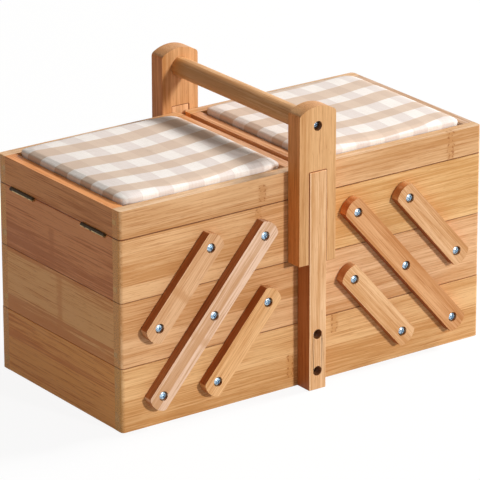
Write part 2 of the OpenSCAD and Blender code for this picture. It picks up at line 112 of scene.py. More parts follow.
class Shader:
    """A material's node tree, with short calls for the nodes used here. Ramps are given as the
    values where they start and end, and then what they give there, 0 and 1 unless stated."""

    def __init__(self, name):
        self.material = bpy.data.materials.new(name)
        self.material.use_nodes = True
        self.tree = self.material.node_tree
        self.tree.nodes.clear()
        self.out = self.tree.nodes.new("ShaderNodeOutputMaterial")
        self.surface = self.tree.nodes.new("ShaderNodeBsdfPrincipled")
        self.tree.links.new(self.surface.outputs["BSDF"], self.out.inputs["Surface"])

    def put(self, socket, value):
        if isinstance(value, bpy.types.NodeSocket):
            self.tree.links.new(value, socket)
        else:
            socket.default_value = value

    def set(self, name, value):
        self.put(self.surface.inputs[name], value)

    def math(self, operation, first, second=0.0):
        node = self.tree.nodes.new("ShaderNodeMath")
        node.operation = operation
        self.put(node.inputs[0], first)
        self.put(node.inputs[1], second)
        return node.outputs[0]

    def add(self, first, second):
        return self.math("ADD", first, second)

    def times(self, first, second):
        return self.math("MULTIPLY", first, second)

    def minus(self, first, second):
        return self.math("SUBTRACT", first, second)

    def larger(self, first, second):
        return self.math("MAXIMUM", first, second)

    def smaller(self, first, second):
        return self.math("MINIMUM", first, second)

    def size(self, value):
        """A value without its sign."""
        return self.math("ABSOLUTE", value)

    def distance(self, first, second):
        return self.size(self.minus(first, second))

    def centred(self, value):
        """A value from 0 to 1, moved to lie around 0."""
        return self.minus(value, 0.5)

    def dot(self, vector, axis):
        node = self.tree.nodes.new("ShaderNodeVectorMath")
        node.operation = "DOT_PRODUCT"
        self.put(node.inputs[0], vector)
        node.inputs[1].default_value = axis
        return node.outputs["Value"]

    def combine(self, x, y, z):
        node = self.tree.nodes.new("ShaderNodeCombineXYZ")
        self.put(node.inputs[0], x)
        self.put(node.inputs[1], y)
        self.put(node.inputs[2], z)
        return node.outputs[0]

    def separate(self, vector):
        node = self.tree.nodes.new("ShaderNodeSeparateXYZ")
        self.put(node.inputs[0], vector)
        return node.outputs[0], node.outputs[1], node.outputs[2]

    def coordinates(self, kind):
        return self.tree.nodes.new("ShaderNodeTexCoord").outputs[kind]

    def attribute(self, name):
        node = self.tree.nodes.new("ShaderNodeAttribute")
        node.attribute_name = name
        return node.outputs["Vector"]

    def noise(self, vector, scale=1.0, detail=2.0, roughness=0.5):
        node = self.tree.nodes.new("ShaderNodeTexNoise")
        self.put(node.inputs["Vector"], vector)
        node.inputs["Scale"].default_value = scale
        node.inputs["Detail"].default_value = detail
        node.inputs["Roughness"].default_value = roughness
        return node.outputs[0]

    def wave_noise(self, place, waves, detail=2.0, roughness=0.5):
        """A noise at a place of three values, with its own number of waves per metre for each."""
        drawn = [self.times(value, wave) for value, wave in zip(place, waves)]
        return self.noise(self.combine(*drawn), detail=detail, roughness=roughness)

    def random(self, value):
        node = self.tree.nodes.new("ShaderNodeTexWhiteNoise")
        node.noise_dimensions = "1D"
        self.put(node.inputs["W"], value)
        return node.outputs["Value"]

    def ramp(self, value, low, high, out_low=0.0, out_high=1.0):
        node = self.tree.nodes.new("ShaderNodeMapRange")
        node.interpolation_type = "SMOOTHSTEP"
        self.put(node.inputs["Value"], value)
        self.put(node.inputs["From Min"], low)
        self.put(node.inputs["From Max"], high)
        self.put(node.inputs["To Min"], out_low)
        self.put(node.inputs["To Max"], out_high)
        return node.outputs[0]

    def between(self, value, low, high, soft):
        """1 where value lies between low and high, with an edge as wide as soft."""
        rise = self.ramp(value, low - soft / 2, low + soft / 2)
        fall = self.ramp(value, high - soft / 2, high + soft / 2, 1.0, 0.0)
        return self.times(rise, fall)

    def mix(self, factor, first, second, blend="MIX"):
        node = self.tree.nodes.new("ShaderNodeMix")
        node.data_type = "RGBA"
        node.blend_type = blend
        self.put(node.inputs[0], factor)
        self.put(node.inputs[6], first)
        self.put(node.inputs[7], second)
        return node.outputs[2]

    def bump(self, height, distance, strength):
        node = self.tree.nodes.new("ShaderNodeBump")
        node.inputs["Strength"].default_value = strength
        node.inputs["Distance"].default_value = distance
        self.put(node.inputs["Height"], height)
        self.tree.links.new(node.outputs["Normal"], self.surface.inputs["Normal"])


# Bamboo: shares by which each part of the figure differs from the tone of its piece
LIGHT_SHARE = (1.16, 1.26, 1.44)
DEEP_SHARE = (0.82, 0.70, 0.55)
STREAK_SHARE = (0.56, 0.36, 0.22)
SPECK_SHARE = (0.50, 0.28, 0.14)
END_SHARE = (1.56, 1.30, 0.96)
# Painted shade: the ends of the arms and posts are darkened for the shade on them
PAINTED_LATH_END_SHADE = (0.74, 0.46, 0.28)
FORK_END_SHARE = (1.05, 0.96, 0.84)
# Painted shade: the sides of the arms and posts are darkened for the shade on them
PAINTED_LATH_SIDE_SHADE = (0.58, 0.30, 0.14)
# Painted shade: the sides of the forks are made deeper and redder for the shade on them
PAINTED_FORK_SIDE_SHADE = (1.10, 0.78, 0.48)
# Painted sheen: the tops and undersides of the rails are made lighter and paler
PAINTED_RAIL_TOP_SHEEN = (1.10, 1.30, 1.65)
# Painted shade: the dark of the gaps below the trays and lids and around the tongues
PAINTED_GAP_SHADE = (0.27, 0.10, 0.045)
# Painted shade: the dark inside the screw recesses
RECESS_SHADE_SHARE = (0.40, 0.26, 0.16)

# Widths of the strips that boards, rails and laths are glued from, and of the line between two
# strips as a share of the strip
STRIP_W = 18 * MM
RAIL_STRIP_W = 24 * MM
LATH_STRIP_W = 9 * MM
STRIP_JOINT = 0.018

# Waves per metre of each kind of figure: along the grain, across it and through the piece
WAVER_WAVES = (7.0, 25.0, 1.0)
CLOUD_WAVES = (8.0, 45.0, 45.0)
BAND_WAVES = (5.0, 210.0, 210.0)
LINE_WAVES = (22.0, 900.0, 900.0)
TICK_WAVES = (130.0, 1700.0, 1700.0)
CUT_WAVES = (1.0, 1300.0, 1300.0)
PALE_WAVES = (60.0, 90.0, 60.0)
RAGGED_WAVES = (200.0, 330.0, 1.0)
SPECK_WAVES = (420.0, 520.0, 520.0)
WAVER_REACH = 4.0 * MM

# How far each kind moves the colour between the light and the deep share, and how much stronger
# all of it is on the left end boards, and on the other end boards and the end rails
STRIP_WEIGHT = 0.75
CLOUD_WEIGHT = 1.4
BAND_WEIGHT = 1.4
LINE_WEIGHT = 2.6
LEFT_END_CONTRAST = 2.4
END_CONTRAST = 1.7

# Ramps over a noise: the values where it starts and ends, and what it gives there
LINE_STREAKS = (0.55, 0.72, 0.0, 0.45)
TICK_STREAKS = (0.62, 0.76, 0.0, 0.42)
CUT_STREAKS = (0.40, 0.65, 0.0, 0.60)
PALE_PATCHES = (0.58, 0.66, 0.0, 0.5)
SPECK_SPOTS = (0.50, 0.58)
WOOD_ROUGHNESS = (0.3, 0.8, 0.40, 0.54)

# Ramps over how squarely a face looks along a direction, from 0 to 1
ENDWAYS = (0.80, 0.97)
EDGEWAYS = (0.70, 0.95)
FRONTWAYS = (0.6, 0.9)
UPRIGHT = (0.5, 0.9, 1.0, 0.0)

# Strengths of the parts of the figure, and of its relief
JOINT_STRENGTH = 0.25
BAND_STRENGTH = 0.60
SPECK_STRENGTH = 0.70
END_STRENGTH = 0.90
# Painted shade: the strengths of the dark lines around the tongues and below the lids and trays
TONGUE_SHADE_STRENGTH = 0.85
LID_SEAM_SHADE_STRENGTH = 1.0
TRAY_SEAM_SHADE_STRENGTH = 0.75
LINE_RELIEF = 0.6
TICK_RELIEF = 0.4
JOINT_RELIEF = 0.30
SPECK_RELIEF = 0.4
WOOD_RELIEF = 0.20 * MM
WOOD_BUMP = 0.45
WOOD_SPECULAR = 0.26

# Steps from one piece's figure to the next and from strip to strip, so that no two look the same
SEED_ALONG = 0.731
SEED_SIDE = 0.0137
SEED_DEPTH = 0.277
SEED_TONE = 3.17
SEED_SHIFT = 5.71
TONE_START = 0.5
SHIFT_START = 40.5
STRIP_SHIFT = 3.1

# The nodes of the cane: how ragged their edges are, how soft their ends, the dark band, and the
# row of specks on either side of its middle
NODE_RAGGED = 5.0 * MM
NODE_EDGE = 1.0 * MM
NODE_BAND = (1.0 * MM, 5.5 * MM, 1.0, 0.0)
NODE_ROW_OFF = 2.2 * MM
NODE_ROW = (0.4 * MM, 1.3 * MM, 1.0, 0.0)

# A dark line painted at the lower edge of the trays and lids: painted shade of the gap below each,
# with some grime
SEAM_SHADE_H = 0.55 * MM

# The gap between each post's tongue and its fork, painted as a dark line of shade: half the width
# and the top of the tongue, the widths of the line on its left and right, its height over the
# top, how soft its edges are, and how far it rounds the corners
TONGUE_HALF = 8.1 * MM
TONGUE_TOPS = {"front_fork": 182 * MM, "back_fork": 186 * MM}
TONGUE_GAPS = {-1: 0.45 * MM, 1: 0.95 * MM}
TONGUE_TOP_GAP = 0.6 * MM
TONGUE_SOFT = 0.3 * MM
TONGUE_CORNER = 0.4 * MM

# The drilled screw recesses of the handle, painted darker than the faces as the shade in them: how
# far behind the face the dark is full and where it starts, and the heights of the screws
RECESS_R = 4.3 * MM
RECESS_SOFT = 0.2 * MM
RECESS_RIM = (0.9 * MM, 0.3 * MM)
RECESS_HEIGHTS = {"post": (15.4 * MM, 46.5 * MM), "fork": (219 * MM,)}

# Tones of the pieces, as screen colours in even light
BOARD_TONE = (214, 161, 108)
END_TONE = (220, 160, 102)
END_RAIL_TONE = (216, 160, 112)
PANEL_TONE = (222, 178, 126)
TONES = {
    "base_front_board": (221, 170, 112),
    "left_middle_front_board": (218, 166, 114),
    "right_middle_front_board": (223, 173, 123),
    "left_top_front_board": (216, 165, 112),
    "right_top_front_board": (228, 181, 121),
    "left_lid_front_rail": (208, 158, 107),
    "right_lid_front_rail": (215, 167, 116),
    "left_long_arms": (224, 183, 148),
    "left_upper_arms": (213, 163, 116),
    "left_lower_arms": (224, 171, 114),
    "right_long_arms": (212, 154, 101),
    "right_upper_arms": (221, 171, 121),
    "right_lower_arms": (223, 173, 121),
    "front_post": (228, 181, 132),
    "back_post": (226, 177, 128),
    "front_fork": (210, 158, 103),
    "back_fork": (210, 156, 103),
    "handle_rod": (216, 163, 107),
    # The left end boards and left outer rail have redder, more saturated tones than the same bamboo
    # elsewhere: painted shade colour, for the shade on the left end
    "base_left_board": (246, 160, 78),
    "left_middle_outer_board": (248, 172, 102),
    "left_top_outer_board": (222, 141, 80),
    "left_lid_outer_rail": (216, 140, 76),
    "right_lid_outer_rail": (202, 166, 134),
}

# Nodes of the cane that show: place along the grain, then the lowest and highest place across it
WHOLE_WIDTH = (-1, 1)
MARKS = {
    "right_lid_front_rail": ((144 * MM, 157 * MM, 182 * MM),),
    "left_lid_front_rail": ((-42 * MM, 161 * MM, 176 * MM),),
    "base_front_board": ((-15 * MM, 8 * MM, 28 * MM), (28 * MM, 36 * MM, 53 * MM)),
    "left_top_front_board": ((-45 * MM, 146 * MM, 158 * MM),),
    "left_top_outer_board": ((10 * MM, 106 * MM, 140 * MM),),
    "left_middle_outer_board": ((0, 53 * MM, 105 * MM),),
    "left_long_arms": ((-22 * MM, *WHOLE_WIDTH),),
    "left_upper_arms": ((-3 * MM, *WHOLE_WIDTH),),
    "base_back_board": ((60 * MM, 20 * MM, 53 * MM),),
    "right_top_back_board": ((70 * MM, 106 * MM, 136 * MM),),
    "left_middle_back_board": ((-120 * MM, 60 * MM, 88 * MM),),
    "right_middle_outer_board": ((30 * MM, 70 * MM, 105 * MM),),
}


def to_cane_node(s, name, along, side, depth):
    """How far each point is from the middle of the nearest cane node, and the ragged shift of the
    node's edges."""
    ragged = s.wave_noise((along, side, depth), RAGGED_WAVES)
    jitter = s.times(s.centred(ragged), NODE_RAGGED)
    off = None
    for place, low, high in MARKS[name]:
        inside = s.between(side, low, high, NODE_EDGE)
        this = s.add(s.distance(s.add(along, jitter), place), s.minus(1.0, inside))
        off = this if off is None else s.smaller(off, this)
    return off, jitter


def cane_specks(s, off, along, side, depth):
    """1 in the specks of the two loose rows beside the middle of a cane node."""
    spots = s.wave_noise((along, side, depth), SPECK_WAVES, detail=1.0)
    row = s.ramp(s.distance(off, NODE_ROW_OFF), *NODE_ROW)
    return s.times(row, s.ramp(spots, *SPECK_SPOTS))


def painted_tongue_shade(s, name, place, normal):
    """1 along the line of painted shade in the gap around the tongue that is let into a fork."""
    x, _, z = s.separate(place)
    top = TONGUE_TOPS[name]
    below = s.ramp(z, top, top + TONGUE_SOFT, 1.0, 0.0)
    line = None
    for sign, width in TONGUE_GAPS.items():
        out = s.times(x, sign)
        beside = s.times(s.between(out, TONGUE_HALF, TONGUE_HALF + width, TONGUE_SOFT), below)
        line = beside if line is None else s.larger(line, beside)
    over = s.times(s.between(z, top, top + TONGUE_TOP_GAP, TONGUE_SOFT),
                   s.ramp(s.size(x), TONGUE_HALF, TONGUE_HALF + TONGUE_CORNER, 1.0, 0.0))
    facing = s.ramp(s.size(s.dot(normal, Y)), *FRONTWAYS)
    return s.times(s.larger(line, over), facing)


def painted_recess_shade(s, name, place):
    """1 inside the screw recesses of a post or fork, behind its face, where their shade is painted.
    """
    x, y, z = s.separate(place)
    low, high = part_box(name)
    face_y = max(abs(low[1]), abs(high[1]))
    deep, shallow = RECESS_RIM
    behind = s.ramp(s.size(y), face_y - deep, face_y - shallow, 1.0, 0.0)
    hole = None
    for height in RECESS_HEIGHTS[name.split("_")[1]]:
        rise = s.minus(z, height)
        reach = s.math("SQRT", s.add(s.times(x, x), s.times(rise, rise)))
        near = s.ramp(reach, RECESS_R, RECESS_R + RECESS_SOFT, 1.0, 0.0)
        hole = near if hole is None else s.larger(hole, near)
    return s.times(hole, behind)


def bamboo(name, grain, across, seed, tone, strip_w=STRIP_W, painted_light_share=None, seam_z=None,
           end_share=END_SHARE, contrast=1.0):
    """Laminated bamboo. grain is the direction of the fibres, and across the direction in which the
    strips lie side by side. The share given after strip_w tints the faces that look along across:
    painted shade on the sides of the arms, posts and forks, and painted sheen on the tops and
    undersides of the rails. end_share tints the sawn ends, which on the arms and posts is painted
    shade, and contrast makes the figure stronger. seam_z is the height of the lower edge of a tray
    or lid, where a dark line is painted as the shade of the gap below it, with some grime."""
    s = Shader(name)
    base = linear(*tone)
    light = shade(base, LIGHT_SHARE)
    deep = shade(base, DEEP_SHARE)
    streak = shade(base, STREAK_SHARE)
    grain = Vector(grain).normalized()
    across = Vector(across).normalized()
    through = grain.cross(across)
    place = s.coordinates("Object")
    along = s.dot(place, grain)
    side = s.dot(place, across)
    depth = s.add(s.dot(place, through), seed * SEED_DEPTH)

    # Strips side by side, each with its own tone and its own fibres
    strip_place = s.math("DIVIDE", s.add(side, seed * SEED_SIDE), strip_w)
    strip = s.math("FLOOR", strip_place)
    strip_tone = s.random(s.add(strip, seed * SEED_TONE + TONE_START))
    strip_shift = s.random(s.add(strip, seed * SEED_SHIFT + SHIFT_START))
    own_along = s.add(s.add(along, seed * SEED_ALONG), s.times(strip_shift, STRIP_SHIFT))
    within = s.math("FRACT", strip_place)
    to_joint = s.smaller(within, s.minus(1.0, within))
    joint_line = s.ramp(to_joint, 0.0, STRIP_JOINT, 1.0, 0.0)

    # Fibres, from broad bands to short ticks, all drawn out along the grain
    waver = s.wave_noise((own_along, side, depth), WAVER_WAVES)
    bent = s.add(side, s.times(waver, WAVER_REACH))
    cloud = s.wave_noise((own_along, bent, depth), CLOUD_WAVES)
    bands = s.wave_noise((own_along, bent, depth), BAND_WAVES)
    lines = s.wave_noise((own_along, bent, depth), LINE_WAVES, detail=3.0, roughness=0.7)
    ticks = s.wave_noise((own_along, side, depth), TICK_WAVES, detail=1.0)
    figure = s.times(s.centred(strip_tone), STRIP_WEIGHT)
    figure = s.add(figure, s.times(s.centred(cloud), CLOUD_WEIGHT))
    figure = s.add(figure, s.times(s.centred(bands), BAND_WEIGHT))
    figure = s.add(figure, s.times(s.centred(lines), LINE_WEIGHT))
    figure = s.add(s.times(figure, contrast), 0.5)
    colour = s.mix(s.larger(s.smaller(figure, 1.0), 0.0), light, deep)
    colour = s.mix(s.ramp(lines, *LINE_STREAKS), colour, streak)
    colour = s.mix(s.ramp(ticks, *TICK_STREAKS), colour, streak)
    colour = s.mix(s.times(joint_line, JOINT_STRENGTH), colour, streak)
    relief = s.add(s.times(lines, LINE_RELIEF), s.times(ticks, TICK_RELIEF))
    relief = s.minus(relief, s.times(joint_line, JOINT_RELIEF))

    # Nodes of the cane. Those of the arms and end boards have no specks.
    if name in MARKS:
        off, jitter = to_cane_node(s, name, along, side, depth)
        band = s.ramp(s.add(off, jitter), *NODE_BAND)
        colour = s.mix(s.times(band, BAND_STRENGTH), colour, deep)
        if not name.endswith(("_arms", "_outer_board")):
            specks = cane_specks(s, off, along, side, depth)
            colour = s.mix(s.times(specks, SPECK_STRENGTH), colour, shade(base, SPECK_SHARE))
            relief = s.minus(relief, s.times(specks, SPECK_RELIEF))

    # Sawn ends show the cut fibres as fine specks, and some paler patches. On the arms and posts
    # their darker tint is painted shade.
    normal = s.coordinates("Normal")
    end_face = s.ramp(s.size(s.dot(normal, grain)), *ENDWAYS)
    cut = s.wave_noise((along, side, depth), CUT_WAVES)
    pale = s.wave_noise((along, side, depth), PALE_WAVES, detail=1.0)
    end_base = s.mix(s.ramp(pale, *PALE_PATCHES), shade(base, end_share), light)
    end_colour = s.mix(s.ramp(cut, *CUT_STREAKS), end_base, streak)
    colour = s.mix(s.times(end_face, END_STRENGTH), colour, end_colour)

    # Painted light: shade on the sides of the arms, posts and forks, sheen on the tops of the rails,
    # and painted shade in the gaps below trays and lids, around the tongues and in the screw recesses
    # Painted shade on the sides of the arms, posts and forks, painted sheen on the tops of the rails
    if painted_light_share:
        painted_light_face = s.ramp(s.size(s.dot(normal, across)), *EDGEWAYS)
        colour = s.mix(painted_light_face, colour, s.mix(1.0, colour, (*painted_light_share, 1.0), "MULTIPLY"))
    # Painted shade: a dark line at the lower edge of a tray or lid for the gap below it, with some
    # grime, and around the tongues
    dark = shade(base, PAINTED_GAP_SHADE)
    if seam_z is not None:
        _, _, z = s.separate(place)
        upright = s.ramp(s.size(s.dot(normal, Z)), *UPRIGHT)
        strength = LID_SEAM_SHADE_STRENGTH if name.endswith("_rail") else TRAY_SEAM_SHADE_STRENGTH
        seam_shade = s.ramp(z, seam_z + SEAM_SHADE_H / 2, seam_z + SEAM_SHADE_H, strength, 0.0)
        colour = s.mix(s.times(seam_shade, upright), colour, dark)
    # Painted shade in the screw recesses of the posts and forks
    if name.endswith(("_post", "_fork")):
        colour = s.mix(painted_recess_shade(s, name, place), colour, shade(base, RECESS_SHADE_SHARE))
    # Painted shade in the gap around the tongue
    if name in TONGUE_TOPS:
        line = s.times(painted_tongue_shade(s, name, place, normal), TONGUE_SHADE_STRENGTH)
        colour = s.mix(line, colour, dark)
    s.set("Base Color", colour)
    s.set("Roughness", s.ramp(lines, *WOOD_ROUGHNESS))
    s.set("Specular IOR Level", WOOD_SPECULAR)
    s.bump(relief, WOOD_RELIEF, WOOD_BUMP)
    return s.material


# Gingham: rows of beige across rows of white, crossed by columns of pale grey
CLOTH_WHITE = linear(250, 245, 240)
CLOTH_GREY = linear(235, 226, 221)
CLOTH_BEIGE = linear(225, 203, 184)
CLOTH_BEIGE_DEEP = linear(218, 195, 176)
COLUMN_PERIOD = 28.5 * MM
YARN_EDGE = 1.0 * MM

# How far the checks wander from straight lines, and in what waves per metre
DRIFT = 2.8 * MM
DRIFT_WAVES = (22.0, 22.0, 1.0)

# Plain weave: thick and thin places in the threads of each direction, nap, and the pits between
# the threads, darkened as painted shade, each with its tone and its ramp
THREAD = 0.60 * MM
SLUB_X_WAVES = (60.0, 1500.0, 1.0)
SLUB_Y_WAVES = (1500.0, 60.0, 1.0)
NAP_WAVES = (800.0, 800.0, 1.0)
SLUB_TONE = linear(196, 172, 150)
NAP_TONE = linear(186, 164, 144)
PIT_SHADE_TONE = linear(150, 124, 98)
SLUB_SPOTS = (0.42, 0.64, 0.0, 0.17)
NAP_SPOTS = (0.52, 0.72, 0.0, 0.12)
PIT_SHADE_SPOTS = (0.0, 0.5, 0.08, 0.0)
WEAVE_RELIEF = 0.6
SLUB_RELIEF = 0.9
NAP_RELIEF = 0.5
CLOTH_RELIEF = 0.22 * MM
CLOTH_BUMP = 0.65

# Steps in the seed of a pad, so that none of its noises look the same
SEED_DRIFT = 7.3
SEED_DRIFT_SIDE = 5
SEED_SLUB_Y = 9
SEED_NAP = 3

# How the cloth lies on each pad, in mm from the middle of the pad: the two edges of each beige row,
# the middle of one grey column, and where and how much the rows bow towards the front. The waves
# are the height of the unevenness of the filling.
CLOTHS = {
    "left": {
        "rows": ((64.6, 83), (27.6, 46.1), (-10, 8), (-43.7, -29), (-72.9, -59.2), (-104, -88)),
        "column": -6.8,
        "bow_middle": -3,
        "bow_per_mm2": 0.0023,
        "waves": 0.9 * MM,
        "seed": 3,
    },
    "right": {
        "rows": ((59.3, 77), (21.8, 40.3), (-11.7, 6.3), (-45.5, -31.1), (-74.7, -62.2), (-107, -91)),
        "column": 4,
        "bow_middle": -2,
        "bow_per_mm2": 0.0017,
        "waves": 0.6 * MM,
        "seed": 8,
    },
}


def gingham(side):
    """The cloth of a pad. Its checks follow the attribute cloth, the place of each point on the
    flat cloth before it was stretched over the pad."""
    lay = CLOTHS[side]
    seed = lay["seed"]
    s = Shader(f"{side}_gingham")
    x, y, _ = s.separate(s.attribute("cloth"))

    # Rows and columns, wandering a little
    drift_seed = seed * SEED_DRIFT
    drift = s.wave_noise((x, y, drift_seed), DRIFT_WAVES, detail=1.0)
    drift_side = s.wave_noise((x, y, drift_seed + SEED_DRIFT_SIDE), DRIFT_WAVES, detail=1.0)
    off_middle = s.minus(x, lay["bow_middle"] * MM)
    bow = s.times(s.times(off_middle, off_middle), lay["bow_per_mm2"] / MM)
    row_y = s.add(s.minus(y, bow), s.times(s.centred(drift), DRIFT))
    column_x = s.add(x, s.times(s.centred(drift_side), DRIFT))
    beige_row = None
    for low, high in lay["rows"]:
        row = s.between(row_y, low * MM, high * MM, YARN_EDGE)
        beige_row = row if beige_row is None else s.add(beige_row, row)
    turn = s.math("DIVIDE", s.minus(column_x, lay["column"] * MM), COLUMN_PERIOD / 2)
    from_grey = s.math("PINGPONG", turn, 1.0)
    soft = YARN_EDGE / COLUMN_PERIOD
    grey_column = s.ramp(from_grey, 0.5 - soft, 0.5 + soft, 1.0, 0.0)
    white_part = s.mix(grey_column, CLOTH_WHITE, CLOTH_GREY)
    beige_part = s.mix(grey_column, CLOTH_BEIGE, CLOTH_BEIGE_DEEP)
    colour = s.mix(beige_row, white_part, beige_part)

    # Plain weave of uneven threads, with a little nap, and painted shade in the pits between them
    slub_x = s.wave_noise((x, y, seed), SLUB_X_WAVES, detail=1.0)
    slub_y = s.wave_noise((x, y, seed + SEED_SLUB_Y), SLUB_Y_WAVES, detail=1.0)
    nap = s.wave_noise((x, y, seed + SEED_NAP), NAP_WAVES)
    turns = math.pi / THREAD
    wave_x = s.math("SINE", s.times(x, turns))
    wave_y = s.math("SINE", s.times(y, turns))
    weave = s.add(s.times(s.times(wave_x, wave_y), 0.5), 0.5)
    slub = s.times(s.add(slub_x, slub_y), 0.5)
    colour = s.mix(s.ramp(slub, *SLUB_SPOTS), colour, SLUB_TONE)
    colour = s.mix(s.ramp(nap, *NAP_SPOTS), colour, NAP_TONE)
    # Painted shade in the pits between the threads
    colour = s.mix(s.ramp(weave, *PIT_SHADE_SPOTS), colour, PIT_SHADE_TONE)
    s.set("Base Color", colour)
    s.set("Roughness", 0.92)
    s.set("Specular IOR Level", 0.12)
    s.set("Sheen Weight", 0.06)
    s.set("Sheen Roughness", 0.5)
    fine_relief = s.add(s.times(slub, SLUB_RELIEF), s.times(nap, NAP_RELIEF))
    s.bump(s.add(s.times(weave, WEAVE_RELIEF), fine_relief), CLOTH_RELIEF, CLOTH_BUMP)
    return s.material


# Metals: tones, waves per metre of their mottle, and ramps over it
MOTTLE = (0.35, 0.65)
ZINC_TONES = (linear(120, 150, 172), linear(206, 222, 234))
ZINC_WAVES = 900.0
ZINC_ROUGHNESS = (0.3, 0.7, 0.18, 0.34)
BRONZE_TONES = (linear(176, 142, 86), linear(232, 204, 146))
TARNISH_AND_SHADE_TONE = linear(40, 26, 10)
BRONZE_WAVES = 700.0
TARNISH_WAVES = 160.0
TARNISH_SPOTS = (0.50, 0.66)
TARNISH_AND_SHADE_STRENGTH = 0.95
# Painted shade on the faces of the hinges that look up
PAINTED_SHADE_ABOVE = (-0.35, 0.15)
BRONZE_METALLIC = (0.0, 1.0, 0.9, 0.1)
BRONZE_ROUGHNESS = (0.3, 0.7, 0.34, 0.55)


def zinc():
    s = Shader("zinc")
    mottle = s.noise(s.coordinates("Object"), ZINC_WAVES, detail=3.0)
    s.set("Base Color", s.mix(s.ramp(mottle, *MOTTLE), *ZINC_TONES))
    s.set("Metallic", 1.0)
    s.set("Roughness", s.ramp(mottle, *ZINC_ROUGHNESS))
    s.bump(mottle, 0.05 * MM, 0.3)
    return s.material


def bronze():
    """Tarnished brass, bright underneath and dark above: the dark, dull faces that look up are
    painted shade, as under the lid, and the dark spots are tarnish.
    """
    s = Shader("bronze")
    place = s.coordinates("Object")
    mottle = s.noise(place, BRONZE_WAVES, detail=3.0)
    tarnish = s.noise(place, TARNISH_WAVES, detail=3.0)
    colour = s.mix(s.ramp(mottle, *MOTTLE), *BRONZE_TONES)
    _, _, up = s.separate(s.coordinates("Normal"))
    # Painted shade: the faces that look up are dark and dull, as in the shade under the lid; the
    # spots are tarnish
    tarnish_and_painted_shade = s.larger(s.ramp(up, *PAINTED_SHADE_ABOVE), s.ramp(tarnish, *TARNISH_SPOTS))
    s.set("Base Color", s.mix(s.times(tarnish_and_painted_shade, TARNISH_AND_SHADE_STRENGTH), colour, TARNISH_AND_SHADE_TONE))
    s.set("Metallic", s.ramp(tarnish_and_painted_shade, *BRONZE_METALLIC))
    s.set("Specular IOR Level", 0.15)
    s.set("Roughness", s.ramp(tarnish, *BRONZE_ROUGHNESS))
    s.bump(mottle, 0.08 * MM, 0.4)
    return s.material


# Widths of the eased edges of the pieces
BOARD_EASE = 0.5 * MM
RAIL_EASE = 0.9 * MM
ARM_EASE = 0.9 * MM
ROD_EASE = 0.6 * MM
SCREW_EASE = 0.25 * MM
HINGE_EASE = 0.12 * MM
EASED_ANGLE = math.radians(40)
WELD_REACH = 0.01 * MM


def dress(node, material):
    piece = frame["nodes"][node]
    piece.data.materials.clear()
    piece.data.materials.append(material)


def ease(node, width, segments=3):
    """Rounds the edges of a piece, without changing the mesh that it stands for."""
    piece = frame["nodes"][node]
    weld = piece.modifiers.new("weld", "WELD")
    weld.merge_threshold = WELD_REACH
    bevel = piece.modifiers.new("eased_edges", "BEVEL")
    bevel.width = width
    bevel.segments = segments
    bevel.limit_method = "ANGLE"
    bevel.angle_limit = EASED_ANGLE
    bevel.harden_normals = False
    for polygon in piece.data.polygons:
        polygon.use_smooth = True
    normals = piece.modifiers.new("flat_faces", "WEIGHTED_NORMAL")
    normals.keep_sharp = True
    normals.weight = 100


def seam_height(node):
    """The lower edge of a tray or lid board, or nothing for the boards of the bottom box."""
    if node.startswith("base_"):
        return None
    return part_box(node)[0][2]


def dress_wood():
    for seed, node in enumerate(sorted(frame["nodes"]), 2):
        tone = TONES.get(node, BOARD_TONE)
        seam_z = seam_height(node)
        if node.endswith(("front_board", "back_board")):
            dress(node, bamboo(node, X, Z, seed, tone, seam_z=seam_z))
            ease(node, BOARD_EASE)
        elif node.endswith(("front_rail", "back_rail")):
            # Painted sheen on the tops and undersides of the rails
            dress(node, bamboo(node, X, Z, seed, tone, RAIL_STRIP_W, PAINTED_RAIL_TOP_SHEEN, seam_z))
            ease(node, RAIL_EASE)
        elif node.endswith(("outer_board", "inner_board", "left_board", "right_board")):
            contrast = LEFT_END_CONTRAST if node in TONES else END_CONTRAST
            end_tone = TONES.get(node, END_TONE)
            dress(node, bamboo(node, Y, Z, seed, end_tone, seam_z=seam_z, contrast=contrast))
            ease(node, BOARD_EASE)
        elif node.endswith(("outer_rail", "inner_rail")):
            end_tone = TONES.get(node, END_RAIL_TONE)
            dress(node, bamboo(node, Y, Z, seed, end_tone, RAIL_STRIP_W, seam_z=seam_z,
                               contrast=END_CONTRAST))
            ease(node, RAIL_EASE)
        elif node.endswith(("floor", "panel")):
            dress(node, bamboo(node, X, Y, seed, PANEL_TONE))
        elif node.endswith("_arms"):
            lean_side = SIDES[node.split("_")[0]]
            lath = (-lean_side * math.sin(ARM_LEAN), 0, math.cos(ARM_LEAN))
            beside = (math.cos(ARM_LEAN), 0, lean_side * math.sin(ARM_LEAN))
            # Painted shade on the sides and ends of the arms
            dress(node, bamboo(node, lath, beside, seed, tone, LATH_STRIP_W, PAINTED_LATH_SIDE_SHADE,
                               end_share=PAINTED_LATH_END_SHADE))
            ease(node, ARM_EASE)
        elif node.endswith("_post"):
            # Painted shade on the sides and ends of the posts
            dress(node, bamboo(node, Z, X, seed, tone, LATH_STRIP_W, PAINTED_LATH_SIDE_SHADE,
                               end_share=PAINTED_LATH_END_SHADE))
            ease(node, BOARD_EASE)
        elif node.endswith("_fork"):
            # Painted shade on the sides of the forks
            dress(node, bamboo(node, Z, X, seed, tone, LATH_STRIP_W, PAINTED_FORK_SIDE_SHADE,
                               end_share=FORK_END_SHARE))
            ease(node, BOARD_EASE)
        elif node == "handle_rod":
            dress(node, bamboo(node, Y, X, seed, tone, LATH_STRIP_W))
            ease(node, ROD_EASE)


def dress_metal():
    bright = zinc()
    dull = bronze()
    for node in frame["nodes"]:
        if node.endswith("_screws"):
            dress(node, bright)
            ease(node, SCREW_EASE, 2)
        elif node.endswith(("hinge_leaves", "hinge_pins")):
            dress(node, dull)
            ease(node, HINGE_EASE, 2)
    return bright


